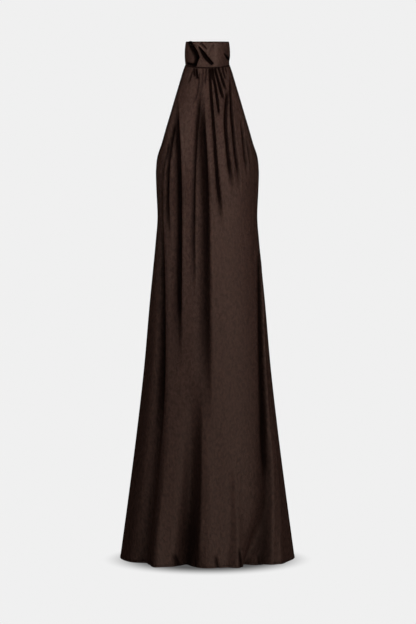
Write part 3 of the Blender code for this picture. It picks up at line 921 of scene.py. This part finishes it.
def front_lines():
    """Where the front is sewn: its hem and the two armhole edges."""
    across = np.linspace(-FRONT_SEWN, FRONT_SEWN, FRONT_LINE_POINTS)
    hem_down = 1.0 - HEM_FOLD / (HEM - PANEL_TOP)
    lines = [front_points(across, np.full_like(across, hem_down))[0]]
    drop = np.linspace(PANEL_TOP + ARMHOLE_SEWN_FROM, UNDERARM - ARMHOLE_SEWN_TO,
                       ARMHOLE_LINE_POINTS)
    sweep = np.radians(section("sweep", drop))
    half_width = section("half_width", drop) / np.sin(sweep)
    per_turn = np.hypot(half_width * np.cos(sweep), section("front", drop) * np.sin(sweep))
    inset = 1.0 - HEM_FOLD / (sweep * per_turn)
    down = (drop - PANEL_TOP) / (HEM - PANEL_TOP)
    return lines + [front_points(side * inset, down)[0] for side in (-1, 1)]


def back_lines():
    """Where the back is sewn: its hem and its low scooped edge."""
    across = np.linspace(-BACK_SEWN, BACK_SEWN, BACK_LINE_POINTS)
    length = HEM - UNDERARM - (BACK_EDGE - UNDERARM) * scooped_edge(across)
    return [back_points(across, 1.0 - HEM_FOLD / length)[0],
            back_points(across, HEM_FOLD / length)[0]]


def band_lines():
    """Where the neckband is sewn: below its top edge and just above the gathers."""
    turn = np.linspace(-pi + BAND_UNSEWN, pi - BAND_UNSEWN, BAND_LINE_POINTS)
    tall = BAND_TOP - BAND_FOOT + (BAND_FOOT_TILT - BAND_TOP_TILT) * np.cos(turn)
    return [band_points(turn, 1.0 - BAND_TOP_STITCH / tall)[0],
            band_points(turn, BAND_FOOT_STITCH / tall)[0]]


def thread_material():
    """Sewing thread, matt and darker than the cloth."""
    made, tree, shader = new_material("sewing thread")
    shader.inputs["Roughness"].default_value = THREAD_ROUGHNESS
    where = node(tree, "ShaderNodeTexCoord", (-900, 0))
    ply = node(tree, "ShaderNodeTexNoise", (-700, 0), Vector=where.outputs["Object"],
               Scale=THREAD_GRAIN, Detail=1.0)
    tone = tone_ramp(tree, (-400, 0), ply.outputs["Fac"], THREAD_COLOUR, THREAD_TONES)
    tree.links.new(tone.outputs["Color"], shader.inputs["Base Color"])
    return made


# Stage

def make_floor():
    """A pale floor with a soft oval shadow painted under the hem."""
    bpy.ops.mesh.primitive_circle_add(vertices=96, radius=FLOOR_RADIUS, fill_type="NGON",
                                      location=(0.0, 0.0, -FLOOR_DROP * MM))
    floor = bpy.context.object
    floor.name = "floor"
    floor.visible_diffuse = False
    floor.visible_glossy = False
    made, tree, shader = new_material("pale floor")
    tree.nodes.remove(shader)
    out = tree.nodes["Material Output"]
    where = node(tree, "ShaderNodeTexCoord", (-1100, 0))
    ring = node(tree, "ShaderNodeVectorMath", (-900, 0))
    ring.operation = "MULTIPLY"
    ring.inputs[1].default_value = (1.0 / SHADOW_HALF_WIDTH, 1.0 / SHADOW_HALF_DEPTH, 0.0)
    tree.links.new(where.outputs["Object"], ring.inputs[0])
    away = node(tree, "ShaderNodeVectorMath", (-700, 0))
    away.operation = "LENGTH"
    tree.links.new(ring.outputs["Vector"], away.inputs[0])
    # Painted shadow: the floor glows less near the hem.
    shadow = change_span(tree, (-500, 0), away.outputs["Value"], *SHADOW_TONES, SHADOW_SPAN)
    shadow.interpolation_type = "SMOOTHSTEP"
    glow = node(tree, "ShaderNodeEmission", (-200, 0), Color=BACKDROP_GREY,
                Strength=shadow.outputs["Result"])
    tree.links.new(glow.outputs[0], out.inputs["Surface"])
    floor.data.materials.append(made)


def make_world():
    """The pale world: grey to the camera, dim to the cloth."""
    world = bpy.data.worlds.new("studio")
    bpy.context.scene.world = world
    world.use_nodes = True
    tree = world.node_tree
    background = tree.nodes["Background"]
    background.inputs["Color"].default_value = BACKDROP_GREY
    soft = node(tree, "ShaderNodeBackground", (0, -200), Color=WHITE, Strength=ROOM_LIGHT)
    gloss = node(tree, "ShaderNodeBackground", (0, -400), Color=WHITE, Strength=ROOM_GLOSS)
    path = node(tree, "ShaderNodeLightPath", (-400, 300))
    unlit = node(tree, "ShaderNodeMixShader", (200, -200), Fac=path.outputs["Is Glossy Ray"])
    tree.links.new(soft.outputs[0], unlit.inputs[1])
    tree.links.new(gloss.outputs[0], unlit.inputs[2])
    mix = node(tree, "ShaderNodeMixShader", (400, 0), Fac=path.outputs["Is Camera Ray"])
    tree.links.new(unlit.outputs[0], mix.inputs[1])
    tree.links.new(background.outputs[0], mix.inputs[2])
    tree.links.new(mix.outputs[0], tree.nodes["World Output"].inputs["Surface"])
    world.cycles.sampling_method = "NONE"


def make_light(box):
    """A soft box that faces the dress."""
    light = bpy.data.lights.new(box.name, "AREA")
    light.shape = "RECTANGLE"
    light.size = box.width
    light.size_y = box.height
    light.energy = box.power
    light.spread = radians(box.spread)
    made = new_object(box.name, light)
    made.location = box.place
    aim = Vector((0.0, 0.0, -box.aim_drop)) - made.location
    made.rotation_euler = aim.to_track_quat("-Z", "Y").to_euler()
    made.visible_camera = False


def make_camera():
    """The camera, level with the middle of the photograph."""
    lens = bpy.data.cameras.new("photograph")
    lens.sensor_width = SENSOR
    lens.lens = SENSOR * CAMERA_DISTANCE / (PHOTO_HEIGHT * PIXEL)
    made = new_object("camera", lens)
    aside = (PHOTO_WIDTH / 2 - DRESS_MIDDLE_PIXEL) * PIXEL
    height = (ORIGIN_PIXEL - PHOTO_HEIGHT / 2) * PIXEL
    made.location = (aside, -CAMERA_DISTANCE, height)
    made.rotation_euler = (pi / 2, 0.0, 0.0)
    bpy.context.scene.camera = made
    bpy.context.scene.view_settings.view_transform = "Standard"


make_camera()
make_floor()
make_world()
for soft_box in SOFT_BOXES:
    make_light(soft_box)

panel_satin = satin("brown satin", PANEL_CRINKLE, HOLLOW_SHADE)
band_satin = satin("brown satin band", BAND_CRINKLE, CREASE_SHADE)
front, front_cut = make_front(panel_satin)
back, back_cut = make_back(panel_satin)
band, band_cut = make_neckband(band_satin)

button_satin = trim_satin("covered button satin", BUTTON_ROUGHNESS, BUTTON_GRAIN)
cord_satin = trim_satin("rolled satin cord", CORD_ROUGHNESS, CORD_GRAIN)
for which, height in BUTTON_HEIGHTS.items():
    make_button(which, height, button_satin)
    make_loop(which, height, cord_satin)

stitches = stitch_tree()
thread = thread_material()
front_sewing = sew("front_stitches", stitches, front_lines(), "satin", thread)
back_sewing = sew("back_stitches", stitches, back_lines(), "satin", thread)
band_sewing = sew("neckband_stitches", stitches, band_lines(), "satin_band", thread)
